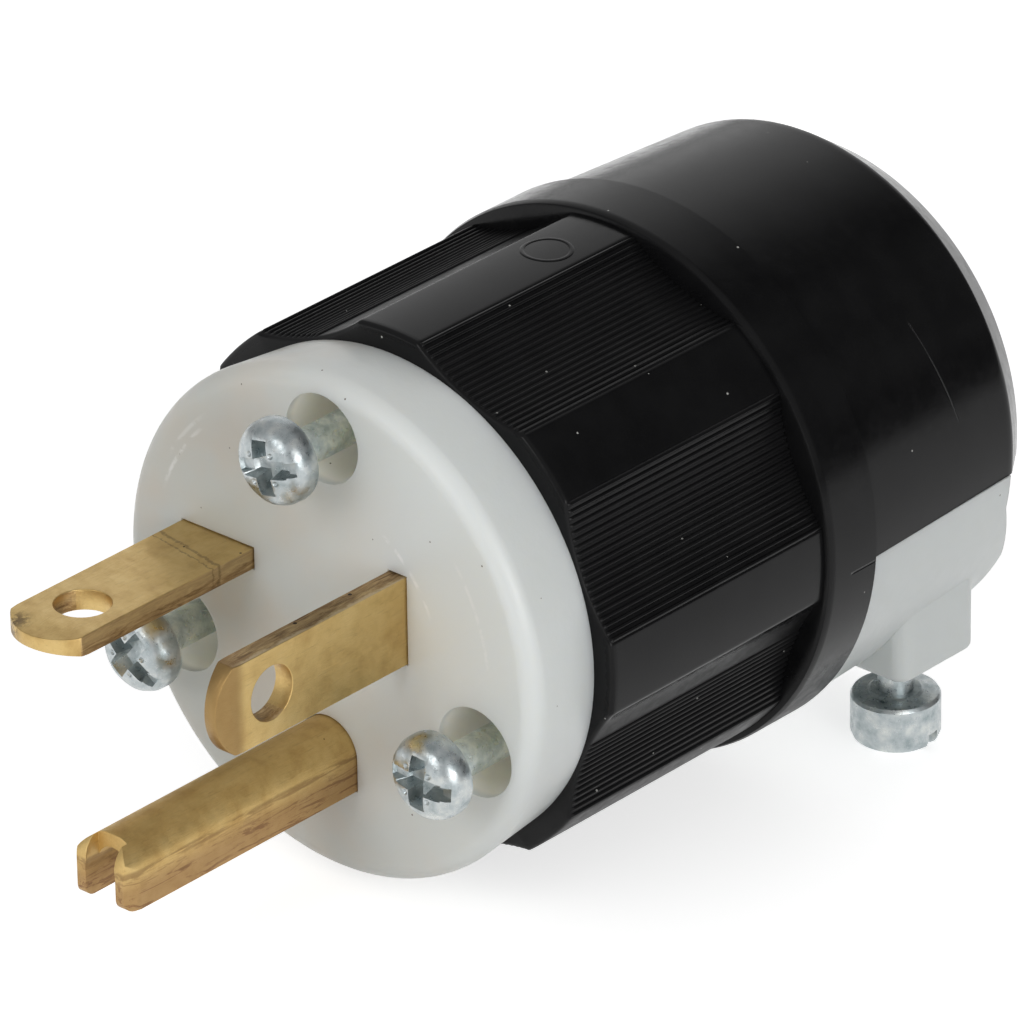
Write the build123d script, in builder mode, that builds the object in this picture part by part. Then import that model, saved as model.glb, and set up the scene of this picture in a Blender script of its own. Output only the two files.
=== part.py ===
from build123d import *
from math import asin, cos, degrees, radians, sin
import os

# Straight blade power plug, two poles and ground, with a white front and a black ribbed grip.
# The origin is the centre of the mating face and the plug's axis is Y: the blades point to -Y
# and the cord enters from +Y. Z is up, and the ground pin is below the line blades.
# All sizes are in millimetres.

# Line blades
blade_width = 6.35
blade_thickness = 1.52
blade_length = 17.7
blade_tip_rise = 1.6
blade_coin_length = 2.2
blade_coin_depth = 0.28
blade_hole_radius = 1.92
blade_hole_from_face = 12.7
blade_height = 2.86
flat_blade_offset = 9.525
upright_blade_offset = 6.35

# Ground pin, folded from strip
ground_drop = 11.89
ground_radius = 2.41
ground_leg = 2.29
ground_wall = 1.1
ground_length = 21.6
ground_top_rounding = 1.9
ground_tip_rounding = 0.8
ground_coin_length = 1.2
ground_coin_depth = 0.35
strap_drop = 0.15

# White front
face_radius = 18.0
face_edge_radius = 1.3
face_back_radius = 17.5
rim_front = 6.4
spigot_back = 12.0
spigot_gap = 0.1
shoulder_depth = 2.0
slot_gap = 0.08
pocket_radius = 3.15
pocket_depth = 5.0

# Assembly screws, backed out of their pockets
screw_circle = 13.7
screw_angles = (90, 199, 340)
screw_radius = 1.25
screw_length = 28.0
screw_standoff = 3.3
screw_head_radius = 2.95
screw_head_height = 2.4
screw_head_rounding = 1.3
screw_slot_width = 1.0
screw_slot_span = 5.2
screw_cross_span = 3.6
screw_recess_depth = 1.1
shank_gap = 0.15
thread_gap = 0.05

# Black housing
grip_back = 27.4
land_radius = 19.1
land_angle = 15.4
flute_radius = 17.7
flute_ribs = (20, 20, 4, 7, 20, 20, 7, 10)
flute_rib_places = 20
rib_height = 0.2
ring_back = 32.3
ring_radius = 19.6
ring_edge = 0.4
sleeve_front_radius = 19.25
sleeve_bevel_start = 47.8
sleeve_bevel_radius = 18.45
sleeve_back = 50.6
sleeve_end_radius = 16.6
sleeve_wall = 2.3
bore_radius = 16.4
chamber_radius = 15.0
chamber_back = 33.6
rear_wall = 2.6
boss_radius = 2.75
boss_front = 12.4
boss_back = 27.6
insert_radius = 1.95
insert_length = 6.0
insert_gap = 0.02
mark_radius = 1.8
mark_depth = 0.12
mark_from_face = 21.9

# Terminal block, with one chamber for each wire
block_gap = 0.2
block_back = 26.0
block_wall = 2.2
notch_gap = 0.2
tail_width = 7.4
tail_gap = 0.2
tail_end_gap = 0.3
wire_hole_radius = 3.1
wire_hole_offset = 1.6

# Terminal screws and wire clamps
wire_gap = 1.6
plate_thickness = 1.2
plate_length = 7.4
plate_corner = 0.8
terminal_radius = 1.95
terminal_from_wall = 4.6
terminal_tip = 1.6
terminal_well_depth = 2.6
terminal_well_gap = 0.25
terminal_head_radius = 3.4
terminal_head_height = 2.2
terminal_head_bevel = 0.7
terminal_slot_width = 0.9
terminal_slot_depth = 0.9

# Cord clamp
clamp_split = -1.4
cord_radius = 9.3
saddle_rise = 3.2
saddle_front = 40.8
saddle_back = 45.8
ridge_count = 3
ridge_width = 0.8
ridge_depth = 0.5
jaw_front_gap = 0.1
jaw_back = 50.2
jaw_back_radius = 18.5
jaw_back_edge = 0.8
jaw_top_back = 47.5
jaw_knee_drop = 2.6
jaw_corner_drop = 9.5
lug_inner = 8.6
lug_outer = 16.1
lug_front = 39.2
lug_back = 47.1
lug_bottom = -15.0
lug_edge = 1.1
spot_face_radius = 3.5
clamp_boss_radius = 3.0
clamp_boss_top = 8.5
clamp_insert_length = 6.0

# Clamp screws, backed out from the jaw
clamp_screw_offset = 12.1
clamp_screw_place = 43.3
clamp_screw_radius = 1.25
clamp_screw_standoff = 3.0
clamp_screw_length = 22.0
clamp_head_radius = 3.1
clamp_head_height = 3.75
clamp_head_edge = 0.5
clamp_slot_width = 1.0
clamp_slot_depth = 1.2

# Sizes that follow from the ones above
flute_count = len(flute_ribs)
ground_height = blade_height - ground_drop
tail_start = spigot_back - shoulder_depth
tail_end = block_back - block_wall - tail_end_gap
block_inner_back = block_back - block_wall
terminal_place = block_inner_back - terminal_from_wall
half_blade = blade_thickness / 2
strap_top = ground_height + ground_radius - strap_drop
strap_middle = strap_top - ground_wall / 2
spigot_radius = bore_radius - spigot_gap
block_radius = bore_radius - block_gap
chamber_half = tail_width / 2 + tail_gap
screw_points = [
    (screw_circle * cos(radians(a)), screw_circle * sin(radians(a))) for a in screw_angles
]
clamp_points = [(-clamp_screw_offset, clamp_screw_place), (clamp_screw_offset, clamp_screw_place)]
screw_seat = -screw_standoff
clamp_seat = lug_bottom - clamp_screw_standoff
plate_offset = wire_gap + plate_thickness
outside = land_radius + ring_radius

os.makedirs("parts", exist_ok=True)


def across(y):
    """The plane across the plug's axis at y, seen from the front: X to the right and Z up."""
    return Plane.XZ.offset(-y)


def finish(part, name):
    """Label a finished piece and write it."""
    part.label = name
    export_step(part, f"parts/{name}.step")


# Each terminal has a plane on the middle of its metal strip, at the plug's face:
# its x runs across the strip, its y along the plug's axis and its z out to the screw's head.
flat_terminal = Plane(origin=(-flat_blade_offset, 0, blade_height), x_dir=(1, 0, 0), z_dir=(0, 0, 1))
upright_terminal = Plane(origin=(upright_blade_offset, 0, blade_height), x_dir=(0, 0, -1), z_dir=(1, 0, 0))
ground_terminal = Plane(origin=(0, 0, strap_middle), x_dir=(-1, 0, 0), z_dir=(0, 0, -1))
terminals = (
    (flat_terminal, half_blade),
    (upright_terminal, half_blade),
    (ground_terminal, ground_wall / 2),
)


def tail_rectangle(start, end, gap=0.0, mode=Mode.ADD):
    """A terminal tail's outline, between two places along the axis."""
    with Locations((0, (start + end) / 2)):
        Rectangle(tail_width + 2 * gap, end - start, mode=mode)


def blade_outline():
    """A line blade with a round-ended tip, two holes and a wider tail behind its shoulders."""
    half = blade_width / 2
    shoulder = blade_tip_rise - blade_length
    with BuildLine() as edge:
        ThreePointArc((-half, shoulder), (0, -blade_length), (half, shoulder))
        Polyline((half, shoulder), (half, tail_end), (-half, tail_end), (-half, shoulder))
    make_face(edge.edges())
    tail_rectangle(tail_start, tail_end)
    with Locations((0, -blade_hole_from_face)):
        Circle(blade_hole_radius, mode=Mode.SUBTRACT)
    with Locations((0, terminal_place)):
        Circle(terminal_radius + thread_gap, mode=Mode.SUBTRACT)


def coin_tip(plane, width, tip, half, length, depth):
    """Bevel both faces of a strip near its tip."""
    side = Plane(origin=plane.origin - plane.x_dir * width, x_dir=plane.y_dir, z_dir=plane.x_dir)
    for sign in (-1, 1):
        with BuildSketch(side) as wedge:
            with BuildLine() as edge:
                Polyline(
                    (-tip, sign * (half - depth)),
                    (length - tip, sign * half),
                    (length - tip, sign * 2 * half),
                    (-tip - length, sign * 2 * half),
                    (-tip - length, sign * (half - 2 * depth)),
                    (-tip, sign * (half - depth)),
                )
            make_face(edge.edges())
        extrude(wedge.sketch, amount=2 * width, mode=Mode.SUBTRACT)


def ground_section(gap=0.0):
    """The folded pin's section: a round crown over two straight legs, open below."""
    outer = ground_radius + gap
    inner = ground_radius - ground_wall - gap
    foot = ground_leg + gap
    with Locations((0, ground_height)):
        Circle(outer)
        Rectangle(2 * outer, foot, align=(Align.CENTER, Align.MAX))
        Circle(inner, mode=Mode.SUBTRACT)
        Rectangle(2 * inner, foot + outer, align=(Align.CENTER, Align.MAX), mode=Mode.SUBTRACT)


# Flat line blade
with BuildPart() as flat_line_blade:
    with BuildSketch(flat_terminal):
        blade_outline()
    extrude(amount=half_blade, both=True)
    coin_tip(flat_terminal, blade_width, blade_length, half_blade, blade_coin_length, blade_coin_depth)
finish(flat_line_blade.part, "flat_line_blade")


# Upright line blade
with BuildPart() as upright_line_blade:
    with BuildSketch(upright_terminal):
        blade_outline()
    extrude(amount=half_blade, both=True)
    coin_tip(upright_terminal, blade_width, blade_length, half_blade, blade_coin_length, blade_coin_depth)
finish(upright_line_blade.part, "upright_line_blade")


# Ground pin: the fold, its tip rounded in side view, its legs bevelled, and its flat terminal strap
with BuildPart() as ground_pin:
    with BuildSketch(across(-ground_length)):
        ground_section()
    extrude(amount=-(ground_length + tail_start + shoulder_depth / 2))
    with BuildSketch(Plane.YZ):
        foot = ground_height - ground_leg
        with BuildLine():
            Polyline(
                (spigot_back, foot),
                (ground_tip_rounding - ground_length, foot),
            )
            RadiusArc(
                (ground_tip_rounding - ground_length, foot),
                (-ground_length, foot + ground_tip_rounding),
                ground_tip_rounding,
            )
            Line(
                (-ground_length, foot + ground_tip_rounding),
                (-ground_length, ground_height + ground_radius - ground_top_rounding),
            )
            RadiusArc(
                (-ground_length, ground_height + ground_radius - ground_top_rounding),
                (ground_top_rounding - ground_length, ground_height + ground_radius),
                ground_top_rounding,
            )
            Polyline(
                (ground_top_rounding - ground_length, ground_height + ground_radius),
                (spigot_back, ground_height + ground_radius),
                (spigot_back, foot),
            )
        make_face()
    extrude(amount=ground_radius, both=True, mode=Mode.INTERSECT)
    for side in (-1, 1):
        with BuildSketch(Plane.XY.offset(ground_height - ground_leg)):
            with BuildLine():
                Polyline(
                    (side * (ground_radius - ground_coin_depth), -ground_length),
                    (side * ground_radius, ground_coin_length - ground_length),
                    (side * 2 * ground_radius, ground_coin_length - ground_length),
                    (side * 2 * ground_radius, -ground_length),
                    (side * (ground_radius - ground_coin_depth), -ground_length),
                )
            make_face()
        extrude(amount=ground_leg + ground_radius, mode=Mode.SUBTRACT)
    with BuildSketch(ground_terminal):
        tail_rectangle(tail_start, tail_end)
        with Locations((0, terminal_place)):
            Circle(terminal_radius + thread_gap, mode=Mode.SUBTRACT)
    extrude(amount=ground_wall / 2, both=True)
finish(ground_pin.part, "ground_pin")


# White blade holder: a rounded disc in front of the black rim, and a spigot in the housing's bore
with BuildPart() as blade_holder:
    with BuildSketch(Plane.XY):
        with BuildLine():
            Line((0, 0), (face_radius - face_edge_radius, 0))
            RadiusArc(
                (face_radius - face_edge_radius, 0),
                (face_radius, face_edge_radius),
                -face_edge_radius,
            )
            Polyline(
                (face_radius, face_edge_radius),
                (face_back_radius, rim_front),
                (spigot_radius, rim_front),
                (spigot_radius, spigot_back),
                (0, spigot_back),
                (0, 0),
            )
        make_face()
    revolve(axis=Axis.Y)
    for plane, half in ((flat_terminal, half_blade), (upright_terminal, half_blade)):
        with BuildSketch(plane):
            with Locations((0, spigot_back / 2)):
                Rectangle(blade_width + 2 * slot_gap, 2 * spigot_back)
            tail_rectangle(tail_start, 2 * spigot_back, gap=slot_gap)
        extrude(amount=half + slot_gap, both=True, mode=Mode.SUBTRACT)
    with BuildSketch(across(0)):
        ground_section(gap=slot_gap)
    extrude(amount=-spigot_back, mode=Mode.SUBTRACT)
    with BuildSketch(ground_terminal):
        tail_rectangle(tail_start, 2 * spigot_back, gap=slot_gap)
    extrude(amount=ground_wall / 2 + slot_gap, both=True, mode=Mode.SUBTRACT)
    with BuildSketch(across(0)):
        with Locations(*screw_points):
            Circle(pocket_radius)
    extrude(amount=-pocket_depth, mode=Mode.SUBTRACT)
    with BuildSketch(across(0)):
        with Locations(*screw_points):
            Circle(screw_radius + shank_gap)
    extrude(amount=-spigot_back, mode=Mode.SUBTRACT)
finish(blade_holder.part, "blade_holder")


def boss_webs(reach, radius, web):
    """Round bosses on the screw circle, each with a web out to the bore's wall."""
    for angle in screw_angles:
        with Locations(Location((0, 0), angle)):
            with Locations((screw_circle, 0)):
                Circle(radius)
            with Locations(((screw_circle + reach) / 2, 0)):
                Rectangle(reach - screw_circle, web)


# Terminal block: it traps the blades, and has a chamber and a wire hole for each terminal
with BuildPart() as terminal_block:
    with BuildSketch(across(spigot_back)):
        Circle(block_radius)
    extrude(amount=-(block_back - spigot_back))
    with BuildSketch(across(spigot_back)):
        boss_webs(bore_radius + boss_radius, boss_radius + notch_gap, 2 * (boss_radius + notch_gap))
    extrude(amount=-(block_back - spigot_back), mode=Mode.SUBTRACT)
    for plane, half in terminals:
        seat = plane.offset(-half)
        with BuildSketch(seat):
            with Locations((0, (spigot_back + block_inner_back) / 2)):
                Rectangle(2 * chamber_half, block_inner_back - spigot_back)
        extrude(amount=block_radius, mode=Mode.SUBTRACT)
        with BuildSketch(seat):
            with Locations((0, terminal_place)):
                Circle(terminal_radius + terminal_well_gap)
        extrude(amount=-terminal_well_depth, mode=Mode.SUBTRACT)
        hole = Plane(
            origin=plane.origin + plane.z_dir * (half + wire_hole_offset) + Vector(0, block_back, 0),
            x_dir=plane.x_dir,
            z_dir=(0, -1, 0),
        )
        with BuildSketch(hole):
            Circle(wire_hole_radius)
        extrude(amount=block_wall, mode=Mode.SUBTRACT)
finish(terminal_block.part, "terminal_block")


def terminal_screw(plane, half):
    """A slotted pan-head screw that stands on its wire clamp and runs through the tail."""
    seat = plane.offset(half + plate_offset)
    with BuildSketch(seat) as head:
        with Locations((0, terminal_place)):
            Circle(terminal_head_radius)
    extrude(head.sketch, amount=terminal_head_height)
    chamfer(faces().sort_by(Axis(plane.origin, plane.z_dir))[-1].edges(), terminal_head_bevel)
    with BuildSketch(seat.offset(terminal_head_height)) as slot:
        with Locations((0, terminal_place)):
            Rectangle(3 * terminal_head_radius, terminal_slot_width)
    extrude(slot.sketch, amount=-terminal_slot_depth, mode=Mode.SUBTRACT)
    with BuildSketch(seat) as shank:
        with Locations((0, terminal_place)):
            Circle(terminal_radius)
    extrude(shank.sketch, amount=-(plate_offset + 2 * half + terminal_tip))


# Terminal screws
with BuildPart() as flat_terminal_screw:
    terminal_screw(flat_terminal, half_blade)
with BuildPart() as upright_terminal_screw:
    terminal_screw(upright_terminal, half_blade)
with BuildPart() as line_terminal_screws:
    add(flat_terminal_screw.part)
    add(upright_terminal_screw.part)
finish(line_terminal_screws.part, "line_terminal_screws")

with BuildPart() as ground_terminal_screw:
    terminal_screw(ground_terminal, ground_wall / 2)
finish(ground_terminal_screw.part, "ground_terminal_screw")


def wire_clamp(plane, half):
    """A square pressure plate with rounded corners, held under the screw's head."""
    with BuildSketch(plane.offset(half + wire_gap)) as plate:
        with Locations((0, terminal_place)):
            RectangleRounded(tail_width, plate_length, plate_corner)
            Circle(terminal_radius + shank_gap, mode=Mode.SUBTRACT)
    extrude(plate.sketch, amount=plate_thickness)


# Wire clamps
with BuildPart() as flat_line_wire_clamp:
    wire_clamp(flat_terminal, half_blade)
finish(flat_line_wire_clamp.part, "flat_line_wire_clamp")

with BuildPart() as upright_line_wire_clamp:
    wire_clamp(upright_terminal, half_blade)
finish(upright_line_wire_clamp.part, "upright_line_wire_clamp")

with BuildPart() as ground_wire_clamp:
    wire_clamp(ground_terminal, ground_wall / 2)
finish(ground_wire_clamp.part, "ground_wire_clamp")


def grip_outline():
    """The grip's section: flat lands between shallow flutes whose floors carry fine V-shaped ribs."""
    turn = 360 / flute_count
    half_flute = (turn - land_angle) / 2
    half_chord = land_radius * sin(radians(half_flute))
    depth = land_radius * cos(radians(half_flute)) - flute_radius
    cutter = (half_chord**2 + depth**2) / (2 * depth)
    sweep = degrees(asin(half_chord / cutter))
    with BuildLine() as edge:
        for flute, ribs in enumerate(flute_ribs):
            middle = (flute + 0.5) * turn
            centre = Vector(flute_radius + cutter, 0).rotate(Axis.Z, middle)
            points = []
            for step in range(2 * flute_rib_places + 1):
                place = step if flute % 2 else 2 * flute_rib_places - step
                crest = place % 2 == 1 and place < 2 * ribs
                arm = Vector(cutter - (rib_height if crest else 0), 0)
                swing = sweep * (1 - step / flute_rib_places)
                if crest or place % 2 == 0:
                    points.append(centre - arm.rotate(Axis.Z, middle + swing))
            Polyline(*points)
            start = Vector(land_radius, 0).rotate(Axis.Z, middle + half_flute)
            crown = Vector(land_radius, 0).rotate(Axis.Z, middle + turn / 2)
            end = Vector(land_radius, 0).rotate(Axis.Z, middle + turn - half_flute)
            ThreePointArc(start, crown, end)
    make_face(edge.edges())


def sleeve_radius(y):
    """The tapered sleeve's outer radius at y."""
    share = (y - ring_back) / (sleeve_bevel_start - ring_back)
    return sleeve_front_radius + share * (sleeve_bevel_radius - sleeve_front_radius)


def half_disc(radius, sign):
    """A disc on the axis, less what lies beyond the clamp's split."""
    Circle(radius)
    with Locations((0, clamp_split)):
        Rectangle(
            2 * outside,
            outside,
            align=(Align.CENTER, Align.MAX if sign > 0 else Align.MIN),
            mode=Mode.SUBTRACT,
        )


def grip_saddle(sign):
    """One half of the cord clamp's wall: it closes the sleeve up to a shallow ridged arch."""
    arch = (0, clamp_split + sign * (saddle_rise - cord_radius))
    with BuildSketch(across(saddle_front)) as wall:
        half_disc(sleeve_radius(saddle_back) - sleeve_wall / 2, sign)
        with Locations(arch):
            Circle(cord_radius, mode=Mode.SUBTRACT)
    extrude(wall.sketch, amount=saddle_front - saddle_back)
    pitch = (saddle_back - saddle_front) / ridge_count
    for step in range(1, ridge_count):
        with BuildSketch(across(saddle_front + step * pitch - ridge_width / 2)) as groove:
            half_disc(sleeve_radius(saddle_back) - sleeve_wall, sign)
            with Locations(arch):
                Circle(cord_radius + ridge_depth, mode=Mode.INTERSECT)
        extrude(groove.sketch, amount=-ridge_width, mode=Mode.SUBTRACT)


# Black housing: fluted grip, ring and tapered sleeve, hollow, with screw bosses and the fixed clamp half
with BuildPart() as housing:
    with BuildSketch(across(rim_front)):
        grip_outline()
    extrude(amount=rim_front - grip_back)
    with BuildSketch(Plane.XY):
        with BuildLine():
            Polyline(
                (0, grip_back),
                (ring_radius - ring_edge, grip_back),
                (ring_radius, grip_back + ring_edge),
                (ring_radius, ring_back),
                (sleeve_front_radius, ring_back),
                (sleeve_bevel_radius, sleeve_bevel_start),
                (sleeve_end_radius, sleeve_back),
                (0, sleeve_back),
                (0, grip_back),
            )
        make_face()
    revolve(axis=Axis.Y)
    with BuildSketch(Plane.XY):
        with BuildLine():
            Polyline(
                (0, rim_front),
                (bore_radius, rim_front),
                (bore_radius, block_back),
                (chamber_radius, block_back),
                (chamber_radius, chamber_back),
                (sleeve_radius(chamber_back) - sleeve_wall, chamber_back),
                (sleeve_radius(sleeve_back - rear_wall) - sleeve_wall, sleeve_back - rear_wall),
                (0, sleeve_back - rear_wall),
                (0, rim_front),
            )
        make_face()
    revolve(axis=Axis.Y, mode=Mode.SUBTRACT)
    with BuildSketch(across(boss_front)):
        boss_webs(bore_radius + sleeve_wall / 4, boss_radius, 2 * boss_radius)
    extrude(amount=boss_front - boss_back)
    with BuildSketch(across(boss_front)):
        with Locations(*screw_points):
            Circle(insert_radius + insert_gap)
    extrude(amount=-insert_length, mode=Mode.SUBTRACT)
    with BuildSketch(across(boss_front)):
        with Locations(*screw_points):
            Circle(screw_radius + shank_gap)
    extrude(amount=boss_front - chamber_back, mode=Mode.SUBTRACT)
    grip_saddle(1)
    with BuildSketch(Plane.XY.offset(clamp_split)):
        with Locations(*clamp_points):
            Circle(clamp_boss_radius)
    extrude(amount=clamp_boss_top - clamp_split)
    with BuildSketch(Plane.XY.offset(clamp_split)):
        with Locations(*clamp_points):
            Circle(insert_radius + insert_gap)
    extrude(amount=clamp_insert_length, mode=Mode.SUBTRACT)
    with BuildSketch(Plane.XY.offset(clamp_split)):
        with Locations(*clamp_points):
            Circle(clamp_screw_radius + shank_gap)
    extrude(amount=clamp_boss_top - clamp_split, mode=Mode.SUBTRACT)
    with BuildSketch(across(sleeve_back)):
        with Locations((0, clamp_split)):
            Circle(cord_radius)
    extrude(amount=rear_wall, mode=Mode.SUBTRACT)
    with BuildSketch(Plane.XY.offset(clamp_split)):
        with Locations((0, (ring_back + 2 * sleeve_back) / 2)):
            Rectangle(2 * outside, 2 * sleeve_back - ring_back)
    extrude(amount=-outside, mode=Mode.SUBTRACT)
    with BuildSketch(Plane.XY.offset(land_radius - mark_depth)):
        with Locations((0, mark_from_face)):
            Circle(mark_radius)
    extrude(amount=sleeve_wall, mode=Mode.SUBTRACT)
finish(housing.part, "housing")


# Threaded inserts in the assembly bosses
with BuildPart() as assembly_screw_inserts:
    with BuildSketch(across(boss_front)):
        with Locations(*screw_points):
            Circle(insert_radius)
            Circle(screw_radius + thread_gap, mode=Mode.SUBTRACT)
    extrude(amount=-insert_length)
finish(assembly_screw_inserts.part, "assembly_screw_inserts")


# Assembly screws: pan heads with a slot and a cross, plain shanks
with BuildPart() as assembly_screws:
    with BuildSketch(across(screw_seat)):
        with Locations(*screw_points):
            Circle(screw_head_radius)
    extrude(amount=screw_head_height)
    fillet(edges().group_by(Axis.Y)[0], screw_head_rounding)
    with BuildSketch(across(screw_seat - screw_head_height)):
        with Locations(*screw_points):
            Rectangle(screw_slot_span, screw_slot_width)
            Rectangle(screw_slot_width, screw_cross_span)
    extrude(amount=-screw_recess_depth, mode=Mode.SUBTRACT)
    with BuildSketch(across(screw_seat)):
        with Locations(*screw_points):
            Circle(screw_radius)
    extrude(amount=-screw_length)
finish(assembly_screws.part, "assembly_screws")


# White clamp jaw: the sleeve's lower half, with a gripping wall between two screw lugs
with BuildPart() as cord_clamp_jaw:
    with BuildSketch(Plane.XY.offset(lug_bottom)):
        for side in (-1, 1):
            with Locations((side * (lug_inner + lug_outer) / 2, (lug_front + lug_back) / 2)):
                RectangleRounded(lug_outer - lug_inner, lug_back - lug_front, lug_edge)
    extrude(amount=clamp_split - lug_bottom)
    fillet(edges().group_by(Axis.Z)[0], lug_edge / 2)
    jaw_front = ring_back + jaw_front_gap
    with BuildSketch(Plane.XY):
        with BuildLine():
            Polyline(
                (sleeve_radius(jaw_front) - sleeve_wall, jaw_front),
                (sleeve_radius(jaw_front), jaw_front),
                (jaw_back_radius, jaw_back - jaw_back_edge),
                (jaw_back_radius - jaw_back_edge, jaw_back),
                (0, jaw_back),
                (0, jaw_back - rear_wall),
                (jaw_back_radius - sleeve_wall, jaw_back - rear_wall),
                (sleeve_radius(jaw_front) - sleeve_wall, jaw_front),
            )
        make_face()
    revolve(axis=Axis.Y)
    grip_saddle(-1)
    with BuildSketch(Plane.XY.offset(clamp_split)):
        Rectangle(2 * outside, 4 * outside)
    extrude(amount=outside, mode=Mode.SUBTRACT)
    with BuildSketch(across(jaw_back)):
        with Locations((0, clamp_split)):
            Circle(cord_radius)
    extrude(amount=rear_wall, mode=Mode.SUBTRACT)
    with BuildSketch(Plane.YZ):
        with BuildLine():
            Polyline(
                (jaw_top_back, clamp_split),
                (jaw_top_back, clamp_split - jaw_knee_drop),
                (jaw_back, clamp_split - jaw_corner_drop),
                (2 * jaw_back, clamp_split - jaw_corner_drop),
                (2 * jaw_back, clamp_split),
                (jaw_top_back, clamp_split),
            )
        make_face()
    extrude(amount=outside, both=True, mode=Mode.SUBTRACT)
    with BuildSketch(Plane.XY.offset(lug_bottom)):
        with Locations(*clamp_points):
            Circle(spot_face_radius)
    extrude(amount=-outside, mode=Mode.SUBTRACT)
    with BuildSketch(Plane.XY.offset(lug_bottom)):
        with Locations(*clamp_points):
            Circle(clamp_screw_radius + shank_gap)
    extrude(amount=clamp_split - lug_bottom, mode=Mode.SUBTRACT)
finish(cord_clamp_jaw.part, "cord_clamp_jaw")


# Threaded inserts for the clamp screws
with BuildPart() as clamp_screw_inserts:
    with BuildSketch(Plane.XY.offset(clamp_split)):
        with Locations(*clamp_points):
            Circle(insert_radius)
            Circle(clamp_screw_radius + thread_gap, mode=Mode.SUBTRACT)
    extrude(amount=clamp_insert_length)
finish(clamp_screw_inserts.part, "clamp_screw_inserts")


# Clamp screws: slotted cylinder heads below the jaw
with BuildPart() as clamp_screws:
    with BuildSketch(Plane.XY.offset(clamp_seat)):
        with Locations(*clamp_points):
            Circle(clamp_head_radius)
    extrude(amount=-clamp_head_height)
    chamfer(edges().group_by(Axis.Z)[0], clamp_head_edge)
    with BuildSketch(Plane.XY.offset(clamp_seat - clamp_head_height)):
        with Locations(*clamp_points):
            Rectangle(3 * clamp_head_radius, clamp_slot_width)
    extrude(amount=clamp_slot_depth, mode=Mode.SUBTRACT)
    with BuildSketch(Plane.XY.offset(clamp_seat)):
        with Locations(*clamp_points):
            Circle(clamp_screw_radius)
    extrude(amount=clamp_screw_length)
finish(clamp_screws.part, "clamp_screws")
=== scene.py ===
import math

import bmesh
import bpy
from mathutils import Euler, Matrix, Vector


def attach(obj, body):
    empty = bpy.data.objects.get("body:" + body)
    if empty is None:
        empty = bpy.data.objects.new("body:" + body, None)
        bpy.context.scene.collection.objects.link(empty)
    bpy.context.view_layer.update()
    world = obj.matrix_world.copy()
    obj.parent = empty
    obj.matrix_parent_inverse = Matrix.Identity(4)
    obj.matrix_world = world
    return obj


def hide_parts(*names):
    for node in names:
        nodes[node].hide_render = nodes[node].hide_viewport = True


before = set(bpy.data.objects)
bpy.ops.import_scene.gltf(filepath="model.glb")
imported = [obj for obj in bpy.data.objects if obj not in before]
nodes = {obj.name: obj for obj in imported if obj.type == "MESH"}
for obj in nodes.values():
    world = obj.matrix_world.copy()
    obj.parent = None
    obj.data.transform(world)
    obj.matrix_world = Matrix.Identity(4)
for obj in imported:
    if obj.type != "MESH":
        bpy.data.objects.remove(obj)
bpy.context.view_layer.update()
MM = 0.001

# Housing sizes, in millimetres, as in the solids
RIM_FRONT, GRIP_BACK, RING_BACK = 6.4, 27.4, 32.3
LAND_R, FLUTE_R, LAND_ANGLE, FLUTES = 19.1, 17.7, 15.4, 8
RING_R, SLEEVE_FRONT_R, SLEEVE_BEVEL_R, SLEEVE_END_R = 19.6, 19.25, 18.45, 16.6
SLEEVE_BEVEL, SLEEVE_BACK, SLEEVE_WALL, REAR_WALL = 47.8, 50.6, 2.3, 2.6
BORE_R, BLOCK_BACK, CHAMBER_R, CHAMBER_BACK = 16.4, 26.0, 15.0, 33.6
CLAMP_SPLIT, CORD_R, SADDLE_RISE = -1.4, 9.3, 3.2
HALF_FLUTE = math.radians((360 / FLUTES - LAND_ANGLE) / 2)
HALF_CHORD = LAND_R * math.sin(HALF_FLUTE)
FLUTE_DEPTH = LAND_R * math.cos(HALF_FLUTE) - FLUTE_R
FLUTE_ARC = (HALF_CHORD ** 2 + FLUTE_DEPTH ** 2) / (2 * FLUTE_DEPTH)
FLUTE_SWEEP = math.asin(HALF_CHORD / FLUTE_ARC)
SCREW_CIRCLE, SCREW_ANGLES = 13.7, (90, 199, 340)
SCREW_SEAT, SCREW_HEAD_R, SCREW_HEAD_H, SCREW_R, SCREW_LENGTH = -3.3, 2.95, 2.4, 1.25, 28.0
CLAMP_X, CLAMP_Y, CLAMP_SEAT, CLAMP_HEAD_R, CLAMP_HEAD_H, CLAMP_LENGTH = 12.1, 43.3, -18.0, 3.1, 3.75, 22.0
BOSS_R, BOSS_FRONT, BOSS_BACK = 2.75, 12.4, 27.6
INSERT_R, INSERT_BACK, CLEARANCE_R = 1.97, 18.4, 1.4
LUG_BOSS_R, LUG_INSERT_TOP, LUG_BOSS_TOP = 3.0, 4.6, 8.5
MARK_R, MARK_Y, MARK_STEPS = 1.8, 21.9, 48
SADDLE_FRONT, SADDLE_BACK, SADDLE_STEPS = 40.8, 45.8, 24
BARREL_STEPS, SLEEVE_STEPS = 900, 96
FULL_ROW = 20
# Ribs in each flute, on round from the right, and the side of the flute that they start from
RIB_ROWS = (FULL_ROW, 1), (FULL_ROW, 1), (11, 1), (11, -1), (FULL_ROW, 1), (FULL_ROW, 1), (13, 1), (13, -1)

# Faint arcs in the white face: radius, start and end in radians, and strength
FLOW_ARCS = (9.9, 0.35, 1.1, 0.6), (14.2, 0.05, 0.7, 0.35), (15.3, 2.3, 2.8, 0.5), (15.9, 2.25, 2.65, 0.3)

CAMERA_PLACE, CAMERA_TURN, CAMERA_LENS = (0.397474, -0.422344, 0.308207), (62.6416, 0.7163, 41.6908), 356.0
FLOOR_HALF, FLOOR_GAP = 4.0, 0.1
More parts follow.
